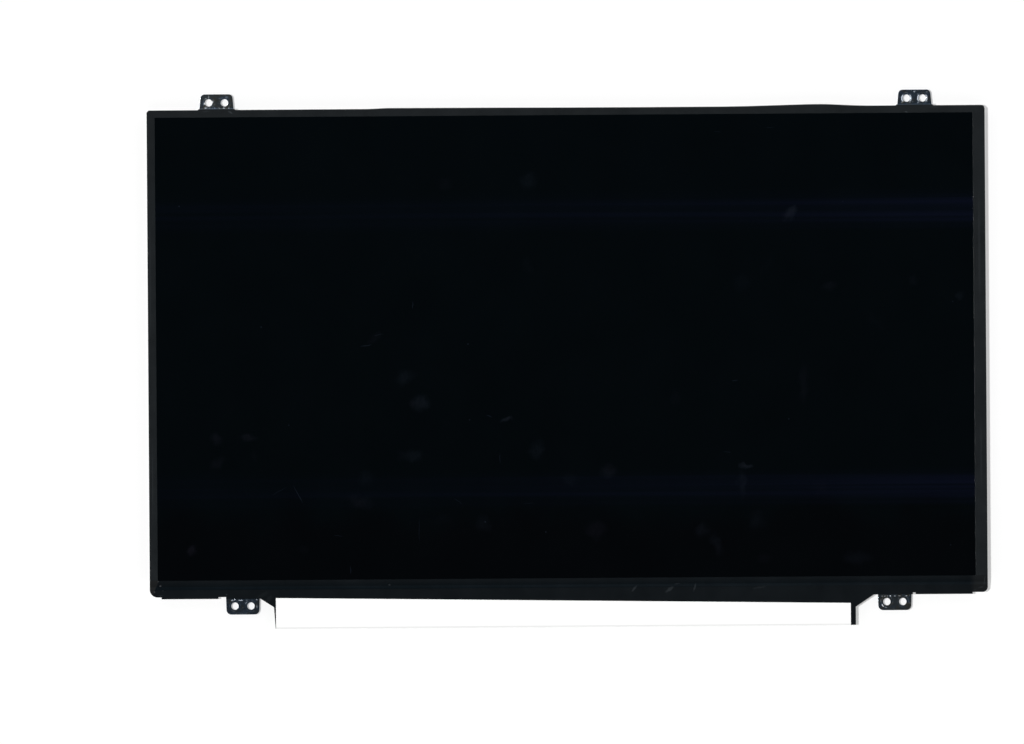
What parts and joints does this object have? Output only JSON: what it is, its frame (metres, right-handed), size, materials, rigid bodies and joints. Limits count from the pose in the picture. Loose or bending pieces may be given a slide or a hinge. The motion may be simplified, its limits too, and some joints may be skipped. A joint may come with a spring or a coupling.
{
  "type": "laptop screen panel",
  "caption": "Slim flat liquid-crystal laptop screen panel with taped edges, a folded metal back, screw tabs along the top and bottom, and a narrow control board below the screen.",
  "frame": {"origin": "centre of the taped outline, without tabs and board, on the rear face of the back cover", "axes": "+X along the screen's width to the viewer's right, +Y up the screen, +Z out of the screen's face"},
  "size_m": [0.3204, 0.2045, 0.0033],
  "materials": {
    "cover_metal": "rolled sheet, satin",
    "bracket_steel": "dark plated, scuffed",
    "frame_plastic": "moulded",
    "edge_tape": "satin film tape",
    "foot_tape": "satin film tape",
    "screen_film": "anti-glare film, smudged",
    "cell_glass": "clear",
    "dark_film": "polarizing film",
    "white_film": "smooth film",
    "clear_sheet": "clear sheet",
    "lamp_mould": "moulded",
    "flex_film": "copper-clad film",
    "board_laminate": "solder-masked laminate",
    "chip_mould": "moulded",
    "chip_silicon": "ground silicon",
    "coil_ferrite": "pressed ferrite",
    "capacitor_ceramic": "fired ceramic",
    "resistor_film": "glazed",
    "socket_plastic": "moulded",
    "shell_steel": "bright plated",
    "contact_gold": "plated",
    "ground_foil": "crinkled foil"
  },
  "bodies": {
    "root": {"back_cover": "cover_metal", "bracket_top_left": "bracket_steel", "bracket_top_right": "bracket_steel", "bracket_bottom_left": "bracket_steel", "bracket_bottom_right": "bracket_steel", "moulded_frame": "frame_plastic", "top_tape": "edge_tape", "left_tape": "edge_tape", "right_tape": "edge_tape", "bottom_tape": "foot_tape", "lamp_shade_tape": "foot_tape", "cell_bond_tape": "foot_tape", "front_polarizer": "screen_film", "array_glass": "cell_glass", "filter_glass": "cell_glass", "rear_polarizer": "dark_film", "board_film": "white_film", "reflector_sheet": "white_film", "light_guide": "clear_sheet", "diffuser_film": "clear_sheet", "lower_prism_film": "clear_sheet", "upper_prism_film": "clear_sheet", "led_packages": "lamp_mould", "led_flex": "flex_film", "board_flex_left": "flex_film", "board_flex_middle": "flex_film", "board_flex_right": "flex_film", "control_board": "board_laminate", "timing_chip": "chip_mould", "power_chip": "chip_mould", "backlight_chip": "chip_mould", "memory_chip": "chip_mould", "power_diodes": "chip_mould", "driver_chips": "chip_silicon", "boost_coils": "coil_ferrite", "capacitors": "capacitor_ceramic", "resistors": "resistor_film", "video_socket_body": "socket_plastic", "light_socket": "socket_plastic", "video_socket_shell": "shell_steel", "video_socket_contacts": "contact_gold", "ground_foil_left": "ground_foil", "ground_foil_right": "ground_foil"}
  },
  "joints": []
}
